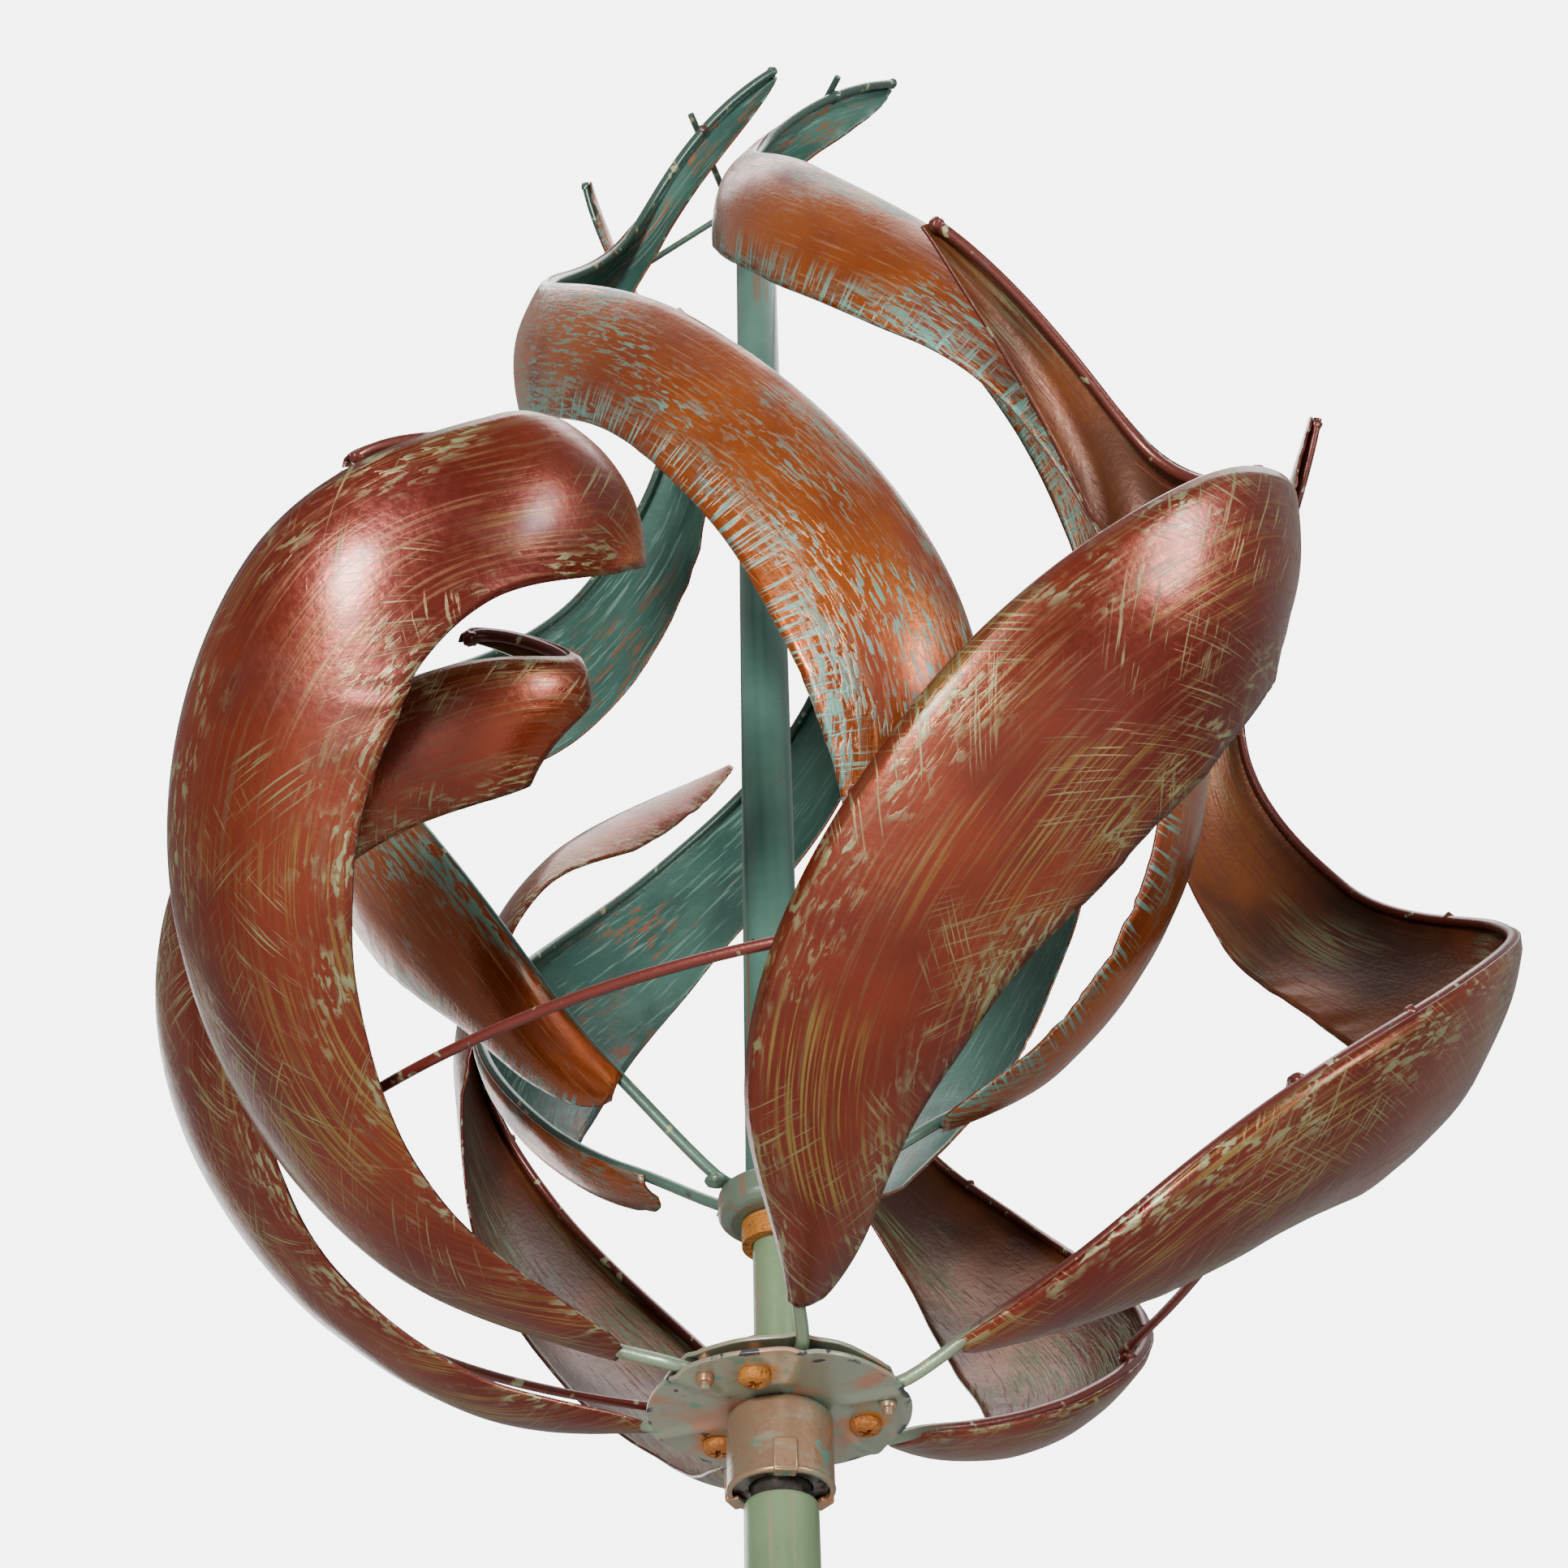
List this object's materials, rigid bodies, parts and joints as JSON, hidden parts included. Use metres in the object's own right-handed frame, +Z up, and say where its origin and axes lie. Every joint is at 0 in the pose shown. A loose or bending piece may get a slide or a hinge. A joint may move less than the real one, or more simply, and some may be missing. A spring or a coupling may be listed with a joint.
{
  "type": "wind spinner",
  "caption": "Garden wind spinner: two nested rotors of long cupped metal vanes, twisted opposite ways, turning freely on one upright pole.",
  "frame": {"origin": "centre of the pole section's foot", "axes": "+Z up along the pole and both rotors' axis; -Y towards the viewer of the picture"},
  "size_m": [0.4621, 0.4803, 1.2943],
  "materials": {
    "pole_green": "semi-gloss sage green paint",
    "hub_patina": "grey-green paint rubbed through to copper",
    "screw_rust": "rust-stained zinc",
    "bearing_steel": "bright steel",
    "rod_bronze": "red-bronze lacquer",
    "vane_bronze": "red-brown lacquer with olive brush streaks",
    "vane_copper": "orange copper lacquer with turquoise verdigris",
    "tube_teal": "teal-green patina with brown streaks"
  },
  "bodies": {
    "mast": {"pole": "pole_green", "pole_plug": "screw_rust", "spindle": "pole_green", "thrust_collar": "screw_rust", "lower_bearing_inner": "bearing_steel"},
    "outer_rotor": {"lower_bearing_outer": "bearing_steel", "lower_bearing_cage": "bearing_steel", "bearing_cup": "hub_patina", "lower_flange": "hub_patina", "upper_flange": "hub_patina", "hub_screw_1": "screw_rust", "hub_nut_1": "screw_rust", "hub_pin_1": "hub_patina", "outer_brace_1": "rod_bronze", "hub_screw_2": "screw_rust", "hub_nut_2": "screw_rust", "hub_pin_2": "hub_patina", "outer_brace_2": "rod_bronze", "hub_screw_3": "screw_rust", "hub_nut_3": "screw_rust", "hub_pin_3": "hub_patina", "outer_brace_3": "rod_bronze", "outer_rod_1": "rod_bronze", "outer_vane_1": "vane_bronze", "outer_rod_2": "rod_bronze", "outer_vane_2": "vane_bronze", "outer_rod_3": "rod_bronze", "outer_vane_3": "vane_bronze", "outer_rod_4": "rod_bronze", "outer_vane_4": "vane_bronze", "outer_rod_5": "rod_bronze", "outer_vane_5": "vane_bronze", "outer_rod_6": "rod_bronze", "outer_vane_6": "vane_bronze"},
    "inner_rotor": {"inner_hub": "hub_patina", "inner_tube": "tube_teal", "top_bushing": "bearing_steel", "inner_rod_1": "tube_teal", "inner_vane_1": "vane_copper", "inner_spoke_1": "tube_teal", "inner_rod_2": "tube_teal", "inner_vane_2": "vane_copper", "inner_spoke_2": "tube_teal", "inner_rod_3": "tube_teal", "inner_vane_3": "vane_copper", "inner_spoke_3": "tube_teal", "inner_rod_4": "tube_teal", "inner_vane_4": "vane_copper", "inner_spoke_4": "tube_teal", "inner_rod_5": "tube_teal", "inner_vane_5": "vane_copper", "inner_spoke_5": "tube_teal"}
  },
  "joints": [
    {"name": "outer_spin", "type": "hinge", "parent": "mast", "child": "outer_rotor", "pos_m": [0, 0, 0.6], "axis": [0, 0, 1], "continuous": true},
    {"name": "inner_spin", "type": "hinge", "parent": "mast", "child": "inner_rotor", "pos_m": [0, 0, 0.665], "axis": [0, 0, 1], "continuous": true}
  ]
}
